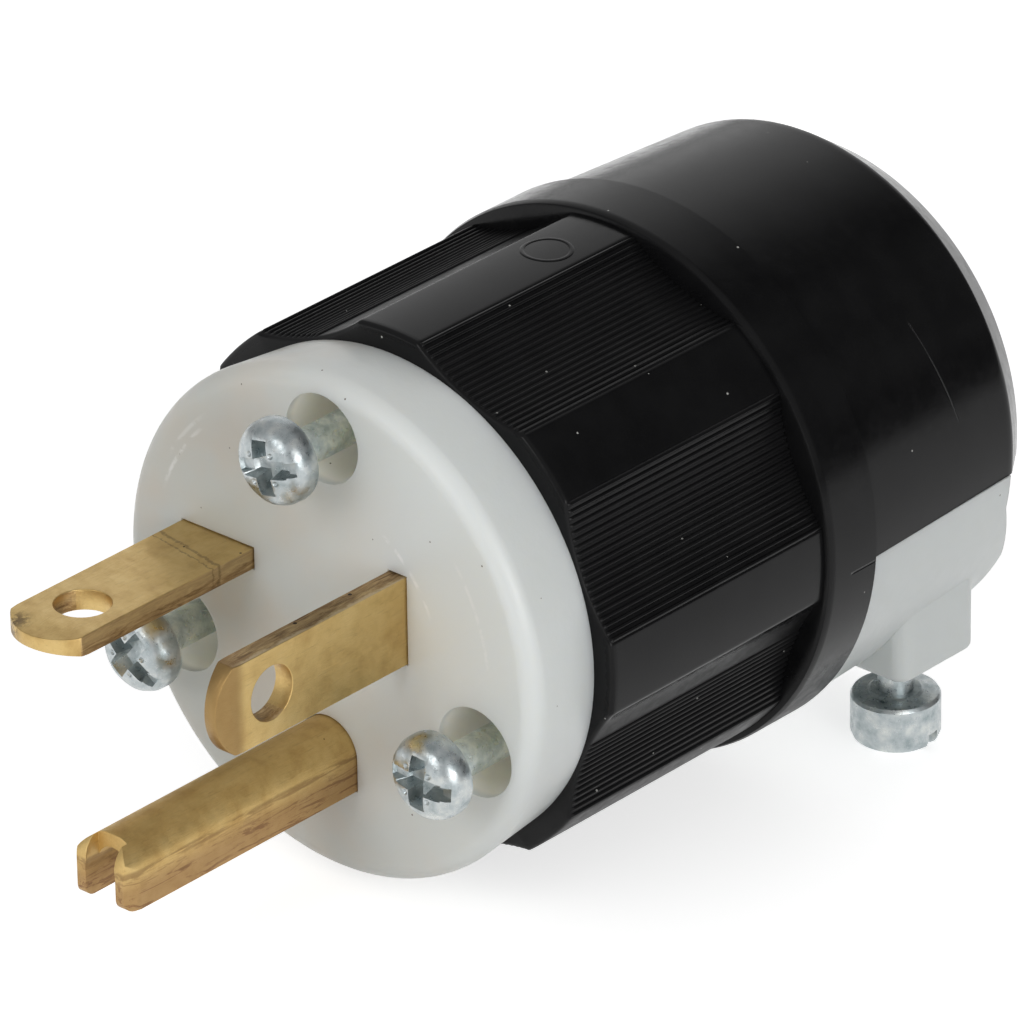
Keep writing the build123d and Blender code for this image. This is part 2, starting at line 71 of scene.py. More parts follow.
# Light from the dome behind the plug, by degrees round from its right side
DOME_LEVELS = ((0, 0.1), (12, 0.05), (22, 0.2), (42, 0.13), (62, 0.16), (78, 0.05), (88, 0.1), (112, 0.55),
               (132, 0.9), (180, 0.95))


class Pattern:
    """Shader nodes in one tree, with their patterns on one set of coordinates."""

    def __init__(self, tree, coordinates):
        self.tree = tree
        self.place = tree.nodes.new("ShaderNodeTexCoord").outputs[coordinates]

    def fill(self, node, sockets):
        for key, value in sockets.items():
            if isinstance(value, bpy.types.NodeSocket):
                self.tree.links.new(value, node.inputs[key])
            elif value is not None:
                node.inputs[key].default_value = value

    def math(self, operation, a, b=None, c=None, clamp=False):
        node = self.tree.nodes.new("ShaderNodeMath")
        node.operation, node.use_clamp = operation, clamp
        self.fill(node, {0: a, 1: b, 2: c})
        return node.outputs[0]

    def vector(self, operation, a, b=None, scale=None):
        node = self.tree.nodes.new("ShaderNodeVectorMath")
        node.operation = operation
        self.fill(node, {0: a, 1: b, "Scale": scale})
        return node.outputs["Value" if operation in ("DOT_PRODUCT", "LENGTH", "DISTANCE") else "Vector"]

    def parts(self, vector=None):
        node = self.tree.nodes.new("ShaderNodeSeparateXYZ")
        self.fill(node, {0: vector or self.place})
        return node.outputs

    def stretch(self, x, y, z):
        return self.vector("MULTIPLY", self.place, (x, y, z))

    def noise(self, scale, detail=3.0, rough=0.5, at=None, warp=0.0):
        node = self.tree.nodes.new("ShaderNodeTexNoise")
        self.fill(node, {"Vector": at or self.place, "Scale": scale, "Detail": detail, "Roughness": rough,
                         "Distortion": warp})
        return node.outputs["Fac"]

    def cells(self, scale):
        node = self.tree.nodes.new("ShaderNodeTexVoronoi")
        self.fill(node, {"Vector": self.place, "Scale": scale})
        return node.outputs["Distance"]

    def band(self, value, low, high, start=0.0, end=1.0):
        node = self.tree.nodes.new("ShaderNodeMapRange")
        node.interpolation_type = "SMOOTHSTEP"
        self.fill(node, {"Value": value, "From Min": low, "From Max": high, "To Min": start, "To Max": end})
        return node.outputs["Result"]

    def ramp(self, value, *stops):
        node = self.tree.nodes.new("ShaderNodeValToRGB")
        ramp = node.color_ramp
        while len(ramp.elements) < len(stops):
            ramp.elements.new(0.5)
        for element, (place, color) in zip(ramp.elements, stops):
            element.position, element.color = place, (*color, 1)
        self.fill(node, {"Fac": value})
        return node.outputs["Color"]

    def mix(self, share, a, b, blend="MIX"):
        node = self.tree.nodes.new("ShaderNodeMix")
        node.data_type, node.blend_type = "RGBA", blend
        a, b = ((*v, 1) if isinstance(v, tuple) else v for v in (a, b))
        self.fill(node, {0: share, 6: a, 7: b})
        return node.outputs[2]

    def bump(self, height, depth, under=None):
        node = self.tree.nodes.new("ShaderNodeBump")
        self.fill(node, {"Height": height, "Distance": depth * MM, "Strength": 1.0, "Normal": under})
        return node.outputs["Normal"]

    def facing(self):
        node = self.tree.nodes.new("ShaderNodeNewGeometry")
        return self.parts(node.outputs["True Normal"])

    def both(self, a, b):
        return self.math("MULTIPLY", a, b)

    def between(self, value, low, low_full, high_full, high):
        """1 between the two full values, and 0 beyond the outer ones."""
        return self.both(self.band(value, low, low_full), self.band(value, high_full, high, 1, 0))

    def line(self, distance, half_width, edge):
        """1 where a distance is near 0 on either side, fading out over its edge."""
        return self.band(self.math("ABSOLUTE", distance), half_width, edge, 1, 0)


class Finish(Pattern):
    """A procedural material, with its patterns on the object's own coordinates in millimetres."""

    def __init__(self, name):
        self.material = bpy.data.materials.new(name)
        self.material.use_nodes = True
        super().__init__(self.material.node_tree, "Object")
        self.place = self.vector("SCALE", self.place, scale=1000)
        self.shader = self.tree.nodes["Principled BSDF"]

    def set(self, **sockets):
        self.fill(self.shader, {key.replace("_", " "): value for key, value in sockets.items()})


def black_nylon(name, rough, grain):
    """Glossy black nylon, duller in the flutes and below, with a seam on each side of the ring, a scratch
    and dust."""
    f = Finish(name)
    x, y, z = f.parts()
    radius = f.vector("LENGTH", f.stretch(1, 0, 1))
    dust = f.math("LESS_THAN", f.cells(0.43), 0.034)
    cloud = f.noise(0.35, 3)
    color = f.mix(f.band(cloud, 0.3, 0.7), (0.005, 0.005, 0.0054), (0.0072, 0.0072, 0.0076))
    seam = f.line(f.math("SUBTRACT", z, CLAMP_SPLIT + 0.05), 0.03, 0.11)
    seam = f.both(seam, f.between(y, RING_BACK - 2.7, RING_BACK - 2.4, RING_BACK - 0.1, RING_BACK + 0.05))
    seam = f.both(seam, f.band(f.math("ABSOLUTE", x), LAND_R - 0.1, LAND_R + 0.2))
    slant = f.math("ADD", f.math("MULTIPLY", z, 0.22), f.math("SUBTRACT", y, 43.4))
    scratch = f.both(f.line(slant, 0.02, 0.07), f.band(x, 12.5, 13.5))
    scratch = f.both(scratch, f.between(z, 4.2, 6.5, 10.4, 11.6))
    color = f.mix(f.math("MULTIPLY", scratch, 0.08), color, (0.3, 0.3, 0.3))
    cut = f.math("ADD", seam, scratch, clamp=True)
    flute = f.both(f.band(radius, FLUTE_R + 0.4, LAND_R - 0.2, 1, 0), f.band(y, GRIP_BACK - 0.1, GRIP_BACK, 1, 0))
    matt = f.math("MULTIPLY", f.math("MAXIMUM", flute, f.band(z, -7.0, -12.0)), 0.24)
    gloss = f.band(f.noise(1.1, 5, 0.65), 0.25, 0.75, rough - 0.05, rough + 0.09)
    f.set(
        Base_Color=f.mix(dust, color, (0.4, 0.4, 0.38)),
        Roughness=f.math("ADD", gloss, matt),
        Normal=f.bump(cut, -0.12, f.bump(f.noise(9, 4, 0.6), grain)),
        Specular_IOR_Level=0.15,
    )
    return f.material


def white_nylon(name):
    """Natural nylon: warm and darker on the left as painted shade, cooler and lighter on the right as painted
    light, lighter still in the screw pockets as painted light, with faint arcs where the melt has flowed. The cord
    clamp's jaw is a little darker."""
    f = Finish(name)
    x, y, z = f.parts()
    cloud = f.noise(0.12, 3, 0.5)
    warm = f.mix(f.band(cloud, 0.38, 0.66), (0.60, 0.62, 0.59), (0.63, 0.595, 0.53))
    radius = f.vector("LENGTH", f.stretch(1, 0, 1))
    around = f.math("ARCTAN2", z, x)
    # Painted light and shade: the colour turns lighter and cooler towards the right and darker and warmer towards
    # the left, for how the light falls across the face.
    painted_light_rightward = f.math("ADD", x, f.math("MULTIPLY", z, 0.35))
    color = f.mix(f.band(painted_light_rightward, -9.0, 17.0), warm, (0.79, 0.82, 0.805))
    # Painted light: the screw pockets are lighter, for light that comes through the translucent nylon; they also
    # get more subsurface scattering.
    pocket_painted_light = f.both(f.band(y, 0.1, 0.9), f.band(radius, 16.9, 17.2, 1, 0))
    color = f.mix(pocket_painted_light, color, (0.97, 0.94, 0.86))
    color = f.mix(f.band(y, 30.0, 31.0), color, (0.67, 0.70, 0.69))
    wave = f.noise(1, 5, 0.6, f.stretch(0.9, 0.2, 0.9), 0.4)
    arcs = 0.0
    for distance, start, end, strength in FLOW_ARCS:
        arc = f.math("MULTIPLY", f.line(f.math("SUBTRACT", radius, distance), 0.03, 0.22), strength)
        arc = f.both(arc, f.between(around, start, start + 0.15, end - 0.15, end))
        arcs = f.math("MAXIMUM", arcs, f.both(arc, f.band(wave, 0.42, 0.56)))
    arcs = f.both(arcs, f.band(y, 0.3, 1.0, 1, 0))
    specks = f.math("LESS_THAN", f.cells(0.5), 0.035)
    color = f.mix(specks, color, (0.22, 0.2, 0.17))
    f.set(
        Base_Color=f.mix(arcs, color, (0.95, 0.95, 0.94)),
        Roughness=f.band(f.noise(0.9, 4), 0.3, 0.7, 0.30, 0.42),
        Subsurface_Weight=f.math("MULTIPLY_ADD", pocket_painted_light, 0.6, 0.4),
        Subsurface_Radius=(1.0, 0.93, 0.8),
        Subsurface_Scale=0.003,
        Normal=f.bump(f.noise(1.4, 4, 0.6), 0.02),
        Specular_IOR_Level=0.42,
    )
    return f.material


def brass(name, rough, edges=None, marks=None):
    """Rolled brass: fine brushing along the blade, small pits, and dark torn bands on the sheared edges."""
    f = Finish(name)
    x, y, z = f.parts()
    grain = f.noise(1, 6, 0.7, f.stretch(7, 0.7, 7))
    fine = f.noise(1, 4, 0.6, f.stretch(22, 1.6, 22))
    cloud = f.noise(0.5, 4, 0.6)
    color = f.ramp(
        cloud, (0.3, (0.53, 0.355, 0.135)), (0.5, (0.63, 0.445, 0.18)), (0.72, (0.69, 0.505, 0.22)))
    color = f.mix(f.band(grain, 0.5, 0.8, 0, 0.5), color, (0.36, 0.23, 0.09))
    pits = f.math("LESS_THAN", f.cells(0.36), 0.05)
    if edges:
        side = f.math("ABSOLUTE", f.facing()[edges])
        across = z if edges == "X" else x
        layer = f.noise(1, 5, 0.65, f.stretch(4, 0.5, 4), 0.8)
        dark = f.ramp(
            layer, (0.35, (0.17, 0.095, 0.045)), (0.5, (0.36, 0.23, 0.11)), (0.68, (0.60, 0.43, 0.22)))
        tear = f.noise(0.9, 4, 0.7, f.stretch(1, 0.8, 1))
        if edges == "X":
            centre, share, sheared = 2.86, 0.55, (0.62, 0.45, 0.23)
        else:
            centre, share, sheared = 6.9, 0.8, (0.72, 0.58, 0.38)
        sheet = f.band(f.math("ADD", f.math("SUBTRACT", across, centre), tear), 0.35, 0.6)
        dark = f.mix(f.math("MULTIPLY", sheet, share), dark, sheared)
        color = f.mix(f.math("MULTIPLY", f.band(side, 0.75, 0.95), 0.9), color, dark)
    if marks == "flat":
        slant = f.math("ADD", f.math("MULTIPLY", x, 0.17), y)
        wobble = f.math("MULTIPLY", f.noise(1.2, 5, 0.7), 0.9)
        for line_y, wide in ((-3.9, 0.07), (-4.5, 0.03)):
            gap = f.math("SUBTRACT", f.math("ADD", slant, wobble), line_y)
            line = f.both(f.line(gap, wide, wide * 2.4), f.band(grain, 0.3, 0.5))
            color = f.mix(f.math("MULTIPLY", line, 0.5), color, (0.16, 0.1, 0.045))
        spot = f.band(f.vector("DISTANCE", f.place, (-11.4, -16.9, 3.0)), 0.3, 1.5, 1, 0)
        spot = f.both(spot, f.band(f.noise(1.6, 5, 0.7), 0.4, 0.55))
        color = f.mix(f.math("MULTIPLY", spot, 0.8), color, (0.07, 0.04, 0.025))
    if marks == "upright":
        # Painted shade: the upright blade is darker and browner towards its tip, for the dimmer reflection there.
        color = f.mix(f.band(y, -15.0, -16.0, 0, 0.8), color, (0.27, 0.165, 0.065))
    if marks == "pin":
        # The pin's lower side is darker and browner: brown stains, deepened by painted shade.
        low = f.band(z, -8.2, -10.2)
        smear = f.noise(1, 5, 0.7, f.stretch(1.5, 0.25, 2.4), 0.8)
        color = f.mix(f.math("MULTIPLY", low, 0.75), color, (0.36, 0.215, 0.10))
        color = f.mix(f.both(low, f.band(smear, 0.5, 0.6, 0, 0.75)), color, (0.22, 0.11, 0.055))
        streak = f.both(f.line(f.math("ADD", z, 8.7), 0.1, 0.35), f.band(smear, 0.42, 0.55))
        color = f.mix(f.math("MULTIPLY", streak, 0.5), color, (0.2, 0.11, 0.05))
    f.set(
        Base_Color=f.mix(pits, color, (0.04, 0.02, 0.015)),
        Metallic=1.0,
        Roughness=f.band(f.noise(1.3, 5, 0.7), 0.3, 0.7, rough - 0.05, rough + 0.1),
        Normal=f.bump(fine, 0.014, f.bump(grain, 0.018)),
    )
    return f.material


def zinc(name, rough):
    """Mottled zinc plate, with painted light that makes the assembly screws' shanks brighter."""
    f = Finish(name)
    cloud = f.noise(0.9, 4, 0.6)
    color = f.ramp(cloud, (0.3, (0.31, 0.36, 0.37)), (0.5, (0.46, 0.50, 0.51)), (0.68, (0.60, 0.625, 0.61)))
    # Painted light: the assembly screws' shanks are brighter, for the light reflected from the pale pockets round
    # them.
    shank = f.between(f.parts()["Y"], -3.35, -3.2, 30.0, 31.0)
    color = f.mix(shank, color, f.mix(1.0, color, (1.55, 1.55, 1.5), "MULTIPLY"))
    f.set(
        Base_Color=color,
        Metallic=1.0,
        Roughness=f.band(f.noise(2.2, 5, 0.7), 0.3, 0.7, rough - 0.05, rough + 0.16),
        Normal=f.bump(f.noise(3.5, 4, 0.6), 0.014),
    )
    return f.material


def inner_plastic(name, color):
    f = Finish(name)
    f.set(
        Base_Color=f.mix(f.noise(0.5, 3), color, tuple(1.35 * c for c in color)),
        Roughness=f.band(f.noise(1.3, 4), 0.3, 0.7, 0.4, 0.52),
        Normal=f.bump(f.noise(6, 3), 0.015),
    )
    return f.material


def green_plate(name):
    f = Finish(name)
    f.set(
        Base_Color=f.mix(f.noise(0.9, 4), (0.012, 0.13, 0.05), (0.03, 0.22, 0.09)),
        Metallic=0.7,
        Roughness=f.band(f.noise(2.0, 4), 0.3, 0.7, 0.3, 0.42),
    )
    return f.material


def loft(rings, closed_along=False, caps=False):
    """Points and faces between rings of equal length, in millimetres."""
    count = len(rings[0])
    points = [p for ring in rings for p in ring]
    faces = []
    for i in range(len(rings) - (0 if closed_along else 1)):
        a, b = i * count, ((i + 1) % len(rings)) * count
        faces += [(a + j, a + (j + 1) % count, b + (j + 1) % count, b + j) for j in range(count)]
    if caps:
        faces += [tuple(range(count)), tuple(range(len(points) - count, len(points)))]
    return points, faces


def solid_mesh(name, *parts):
    """One mesh from closed parts, in metres, with its faces outwards."""
    form = bmesh.new()
    for points, faces in parts:
        made = [form.verts.new(Vector(p) * MM) for p in points]
        for face in faces:
            form.faces.new([made[i] for i in face])
    bmesh.ops.recalc_face_normals(form, faces=form.faces)
    mesh = bpy.data.meshes.new(name)
    form.to_mesh(mesh)
    form.free()
    return mesh


def joined(name, *meshes):
    form = bmesh.new()
    for mesh in meshes:
        form.from_mesh(mesh)
    bmesh.ops.recalc_face_normals(form, faces=form.faces)
    mesh = bpy.data.meshes.new(name)
    form.to_mesh(mesh)
    form.free()
    return mesh


def lathe(profile, steps, along="Y"):
    """A turned form: profile points are (radius, place), and it is closed at both ends."""
    angles = [2 * math.pi * i / steps for i in range(steps)]
    rings = []
    for radius, place in profile:
        ring = [(radius * math.cos(a), place, radius * math.sin(a)) for a in angles]
        rings.append([(x, z, y) for x, y, z in ring] if along == "Z" else ring)
    return loft(rings, caps=True)


def tube(centre, axis, radius, bore, start, end, steps=32):
    """A round boss with a hole, along Y or Z."""
    angles = [2 * math.pi * i / steps for i in range(steps)]
    rings = []
    for r, t in ((bore, start), (radius, start), (radius, end), (bore, end)):
        if axis == "Y":
            rings.append([(centre[0] + r * math.cos(a), t, centre[1] + r * math.sin(a)) for a in angles])
        else:
            rings.append([(centre[0] + r * math.cos(a), centre[1] + r * math.sin(a), t) for a in angles])
    return loft(rings, closed_along=True)


def add_object(name, mesh):
    thing = bpy.data.objects.new(name, mesh)
    bpy.context.collection.objects.link(thing)
    return thing


def evaluated(thing):
    """The object's mesh with its modifiers applied."""
    view = bpy.context.evaluated_depsgraph_get()
    return bpy.data.meshes.new_from_object(thing.evaluated_get(view), depsgraph=view)


def cut_out(thing, *cutters):
    """The object's mesh with the cutters' forms taken out of it; the object itself goes."""
    tools = []
    for points, faces in cutters:
        tool = add_object("tool", solid_mesh("tool", (points, faces)))
        cut = thing.modifiers.new("cut", "BOOLEAN")
        cut.operation, cut.solver, cut.object = "DIFFERENCE", "EXACT", tool
        tools.append(tool)
    mesh = evaluated(thing)
    for spent in tools + [thing]:
        bpy.data.objects.remove(spent)
    return mesh


def carved(name, body, *cutters):
    return cut_out(add_object(name, solid_mesh(name, body)), *cutters)


def without_scraps(mesh):
    """Deletes the loose slivers that a bevel can leave at a corner."""
    form = bmesh.new()
    form.from_mesh(mesh)
    bmesh.ops.remove_doubles(form, verts=form.verts, dist=2e-7)
    left, scraps = set(form.faces), []
    while left:
        island = [left.pop()]
        for face in island:
            near = {f for e in face.edges for f in e.link_faces} & left
            left -= near
            island += near
        if len(island) < 8:
            scraps += island
    bmesh.ops.delete(form, geom=scraps, context="FACES")
    form.to_mesh(mesh)
    form.free()


def soften(thing, angle, bevel=0.0):
    """Smooth shading with crisp creases, and a fine rounding on them."""
    if bevel:
        rounding = thing.modifiers.new("edges", "BEVEL")
        rounding.width, rounding.segments = bevel * MM, 2
        rounding.limit_method, rounding.angle_limit = "ANGLE", math.radians(angle)
        mesh = evaluated(thing)
        thing.modifiers.clear()
        without_scraps(mesh)
        thing.data = mesh
    thing.data.shade_smooth()
    thing.data.set_sharp_from_angle(angle=math.radians(angle if not bevel else 60))
    thing.modifiers.new("normals", "WEIGHTED_NORMAL").keep_sharp = True


def finished(thing, material, node):
    thing.data.materials.clear()
    thing.data.materials.append(material)
    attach(thing, "root")
    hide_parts(node)


def copied_solid(node, name, angle, bevel, cut=None):
    """A node's own form with its flat faces joined up, ready for rounded edges."""
    form = bmesh.new()
    form.from_mesh(nodes[node].data)
    if cut:
        bmesh.ops.remove_doubles(form, verts=form.verts, dist=1e-7)
        whole = bpy.data.meshes.new("whole")
        form.to_mesh(whole)
        form.clear()
        form.from_mesh(cut_out(add_object("whole", whole), cut))
    bmesh.ops.remove_doubles(form, verts=form.verts, dist=1e-7)
    bmesh.ops.dissolve_limit(form, angle_limit=math.radians(0.4), verts=form.verts, edges=form.edges)
    mesh = bpy.data.meshes.new(name)
    form.to_mesh(mesh)
    form.free()
    if "custom_normal" in mesh.attributes:
        mesh.attributes.remove(mesh.attributes["custom_normal"])
    thing = add_object(name, mesh)
    soften(thing, angle, bevel)
    return thing


def geometry_tree(name, **inputs):
    """An empty Geometry Nodes tree with named inputs, and a helper that adds nodes to it."""
    tree = bpy.data.node_groups.new(name, "GeometryNodeTree")
    tree.interface.new_socket("Geometry", in_out="OUTPUT", socket_type="NodeSocketGeometry")
    for label, kind in inputs.items():
        tree.interface.new_socket(label.replace("_", " "), in_out="INPUT", socket_type="NodeSocket" + kind)

    def add(kind, props=None, **sockets):
        node = tree.nodes.new(kind)
        for key, value in (props or {}).items():
            setattr(node, key, value)
        for key, value in sockets.items():
            key = int(key[1:]) if key[0] == "i" and key[1:].isdigit() else key.replace("_", " ")
            if isinstance(value, bpy.types.NodeSocket):
                tree.links.new(value, node.inputs[key])
            else:
                node.inputs[key].default_value = value
        return node

    return tree, add, tree.nodes.new("NodeGroupInput").outputs


def run_tree(tree, name, **values):
    """Runs a tree on an empty mesh and keeps the result as a plain mesh."""
    carrier = add_object(name, bpy.data.meshes.new(name))
    modifier = carrier.modifiers.new(name, "NODES")
    modifier.node_group = tree
    for item in tree.interface.items_tree:
        key = item.name.replace(" ", "_")
        if item.in_out == "INPUT" and key in values:
            modifier[item.identifier] = values[key]
    mesh = evaluated(carrier)
    bpy.data.objects.remove(carrier)
    return mesh


def fluted_barrel_tree():
    """A closed section turned about Y. Where a station is fluted, its radius dips on an arc in each flute."""
    tree, add, given = geometry_tree(
        "fluted_barrel", Stations="Object", Station_Count="Int", Steps="Int", Flutes="Int", Land_Radius="Float",
        Arc_Radius="Float", Arc_Distance="Float", Corner_Rounding="Float", Finish="Material")

    def calc(operation, *values):
        sockets = {f"i{i}": value for i, value in enumerate(values)}
        return add("ShaderNodeMath", {"operation": operation}, **sockets).outputs[0]

    rows = calc("ADD", given["Station Count"], 1)
    grid = add("GeometryNodeMeshGrid", Vertices_X=calc("ADD", given["Steps"], 1), Vertices_Y=rows)
    index = add("GeometryNodeInputIndex").outputs[0]
    column = calc("FLOOR", calc("DIVIDE", calc("ADD", index, 0.5), rows))
    row = calc("SUBTRACT", index, calc("MULTIPLY", column, rows))
    station = calc("FLOORED_MODULO", row, given["Station Count"])
    stations = add("GeometryNodeObjectInfo", {"transform_space": "ORIGINAL"}, Object=given["Stations"])
    place = add("GeometryNodeInputPosition").outputs[0]
    at = add("GeometryNodeSampleIndex", {"data_type": "FLOAT_VECTOR"}, Geometry=stations.outputs["Geometry"],
             Value=place, Index=station)
    plain, along, fluted = add("ShaderNodeSeparateXYZ", i0=at.outputs[0]).outputs
    turn = calc("MULTIPLY", calc("DIVIDE", column, given["Steps"]), 2 * math.pi)
    share = calc("FRACT", calc("MULTIPLY", turn, calc("DIVIDE", given["Flutes"], 2 * math.pi)))
    swing = calc("DIVIDE", calc("MULTIPLY", calc("SUBTRACT", share, 0.5), 2 * math.pi), given["Flutes"])
    aside = calc("MULTIPLY", given["Arc Distance"], calc("SINE", swing))
    ahead = calc("MULTIPLY", given["Arc Distance"], calc("COSINE", swing))
    reach = calc("SUBTRACT", calc("POWER", given["Arc Radius"], 2.0), calc("MULTIPLY", aside, aside))
    flute = calc("SUBTRACT", ahead, calc("SQRT", reach))
    dip = calc("SMOOTH_MIN", given["Land Radius"], flute, given["Corner Rounding"])
    cut = calc("MULTIPLY", calc("SUBTRACT", given["Land Radius"], dip), calc("DIVIDE", fluted, MM))
    radius = calc("SUBTRACT", plain, cut)
    spot = add("ShaderNodeCombineXYZ", X=calc("MULTIPLY", radius, calc("COSINE", turn)), Y=along,
               Z=calc("MULTIPLY", radius, calc("SINE", turn)))
    formed = add("GeometryNodeSetPosition", Geometry=grid.outputs["Mesh"], Position=spot.outputs[0])
    closed = add("GeometryNodeMergeByDistance", Geometry=formed.outputs[0], Distance=0.000001)
    real = add("GeometryNodeRealizeInstances", Geometry=closed.outputs[0])
    done = add("GeometryNodeSetMaterial", Geometry=real.outputs[0], Material=given["Finish"])
    add("NodeGroupOutput", Geometry=done.outputs[0])
    return tree


def barrel(material):
    """The fluted grip and the ring, hollow, from stations of radius, place along Y, and 1 where fluted."""
    stations = [
        (BORE_R, RIM_FRONT, 0), (LAND_R - 0.34, RIM_FRONT, 1), (LAND_R - 0.14, RIM_FRONT + 0.05, 1),
        (LAND_R - 0.04, RIM_FRONT + 0.14, 1), (LAND_R, RIM_FRONT + 0.3, 1),
        (LAND_R, RIM_FRONT + 0.6, 1), (LAND_R, GRIP_BACK - 0.3, 1), (LAND_R, GRIP_BACK, 1),
        (RING_R - 0.4, GRIP_BACK, 0), (RING_R - 0.12, GRIP_BACK + 0.12, 0), (RING_R, GRIP_BACK + 0.45, 0),
        (RING_R, GRIP_BACK + 0.7, 0), (RING_R, RING_BACK - 0.35, 0), (RING_R, RING_BACK - 0.12, 0),
        (RING_R - 0.12, RING_BACK, 0), (17.0, RING_BACK, 0), (17.0, CHAMBER_BACK, 0), (CHAMBER_R, CHAMBER_BACK, 0),
        (CHAMBER_R, BLOCK_BACK, 0), (BORE_R, BLOCK_BACK, 0)]
    mesh = bpy.data.meshes.new("stations")
    mesh.from_pydata([tuple(v * MM for v in station) for station in stations], [], [])
    marks = add_object("stations", mesh)
    result = run_tree(
        fluted_barrel_tree(), "fluted_barrel", Stations=marks, Station_Count=len(stations), Steps=BARREL_STEPS,
        Flutes=FLUTES, Land_Radius=LAND_R * MM, Arc_Radius=FLUTE_ARC * MM,
        Arc_Distance=(FLUTE_R + FLUTE_ARC) * MM, Corner_Rounding=0.12 * MM, Finish=material)
    bpy.data.objects.remove(marks)
    return result


def half_band(profile):
    """A closed section of radius, place along Y and height of its centre, swept round above the clamp's split."""
    rings = []
    for step in range(SLEEVE_STEPS + 1):
        ring = []
        for radius, y, centre in profile:
            start = math.asin((CLAMP_SPLIT - centre) / radius)
            turn = start + (math.pi - 2 * start) * step / SLEEVE_STEPS
            ring.append((radius * math.cos(turn), y, centre + radius * math.sin(turn)))
        rings.append(ring)
    return loft(rings, caps=True)


def sleeve_r(y):
    share = (y - RING_BACK) / (SLEEVE_BEVEL - RING_BACK)
    return SLEEVE_FRONT_R + share * (SLEEVE_BEVEL_R - SLEEVE_FRONT_R)


def sleeve():
    inner_back = SLEEVE_BACK - REAR_WALL
    return half_band([
        (sleeve_r(RING_BACK) - SLEEVE_WALL, RING_BACK - 0.5, 0), (sleeve_r(RING_BACK), RING_BACK - 0.5, 0),
        (SLEEVE_BEVEL_R + 0.035, SLEEVE_BEVEL - 0.6, 0), (SLEEVE_BEVEL_R + 0.01, SLEEVE_BEVEL - 0.25, 0),
        (SLEEVE_BEVEL_R - 0.04, SLEEVE_BEVEL, 0), (SLEEVE_BEVEL_R - 0.16, SLEEVE_BEVEL + 0.2, 0),
        (SLEEVE_END_R + 0.12, SLEEVE_BACK - 0.25, 0), (SLEEVE_END_R - 0.03, SLEEVE_BACK - 0.09, 0),
        (SLEEVE_END_R - 0.2, SLEEVE_BACK, 0),
        (CORD_R + 0.15, SLEEVE_BACK, CLAMP_SPLIT), (CORD_R, SLEEVE_BACK - 0.15, CLAMP_SPLIT),
        (CORD_R, inner_back, CLAMP_SPLIT), (sleeve_r(inner_back) - SLEEVE_WALL, inner_back, 0),
    ])


def saddle(radius):
    """The clamp's fixed wall, above the split, with two grooves across its arch."""
    arch = CLAMP_SPLIT + SADDLE_RISE - CORD_R
    half = math.acos((CORD_R - SADDLE_RISE) / CORD_R)
    low = math.asin(CLAMP_SPLIT / radius)
    rings = []
    for y, groove in ((SADDLE_FRONT, 0), (42.1, 0), (42.2, 0.5), (42.8, 0.5), (42.9, 0), (43.7, 0), (43.8, 0.5),
                      (44.4, 0.5), (44.5, 0), (SADDLE_BACK, 0)):
        shares = [step / SADDLE_STEPS for step in range(SADDLE_STEPS + 1)]
        ring = []
        for share in shares:
            a = low + (math.pi - 2 * low) * share
            ring.append((radius * math.cos(a), y, radius * math.sin(a)))
        for share in shares:
            a = math.pi / 2 + half * (1 - 2 * share)
            r = CORD_R + groove * math.sin(math.pi * share)
            ring.append((r * math.cos(a), y, arch + r * math.sin(a)))
        rings.append(ring)
    return loft(rings, caps=True)


def mould_mark():
    """A fine round bead on the top land, which follows the land's curve."""
    rings = []
    for inside, rise in ((0.3, -0.3), (0, -0.3), (0, 0.02), (0.06, 0.05), (0.24, 0.05), (0.3, 0.02)):
        ring = []
        for step in range(MARK_STEPS):
            a = 2 * math.pi * step / MARK_STEPS
            x, y = (MARK_R - inside) * math.cos(a), (MARK_R - inside) * math.sin(a)
            ring.append((x, MARK_Y + y, math.sqrt(LAND_R ** 2 - x ** 2) + rise))
        rings.append(ring)
    return loft(rings, closed_along=True)


def round_the_axis(radius, degrees):
    return [(radius * math.cos(math.radians(a)), radius * math.sin(math.radians(a))) for a in degrees]


def boss_webs():
    """The ribs that carry the screw bosses out to the bore."""
    out = []
    for angle in SCREW_ANGLES:
        turn = Matrix.Rotation(math.radians(-angle), 3, "Y")
        near, far = SCREW_CIRCLE + 2.0, BORE_R + 0.5
        section = [(near, -BOSS_R), (far, -BOSS_R), (far, BOSS_R), (near, BOSS_R)]
        rings = [[tuple(turn @ Vector((x, y, z))) for x, z in section] for y in (BOSS_FRONT, BOSS_BACK)]
        out.append(loft(rings, caps=True))
    return out


def rib_form():
    """One fine rib of the grip, at the front end of its flute, with a sloped nose."""
    rings = []
    for y, rise in ((0.0, 0.02), (0.1, 0.6), (0.24, 1.0), (GRIP_BACK - RIM_FRONT - 0.1, 1.0)):
        section = [(-0.17, -0.15), (-0.165, 0.0), (-0.12, 0.07 * rise), (-0.06, 0.13 * rise),
                   (0.0, 0.15 * rise), (0.06, 0.13 * rise), (0.12, 0.07 * rise), (0.165, 0.0), (0.17, -0.15)]
        rings.append([(-FLUTE_ARC + h, y, u) for u, h in section])
    mesh = solid_mesh("rib", loft(rings, caps=True))
    return add_object("rib", mesh)


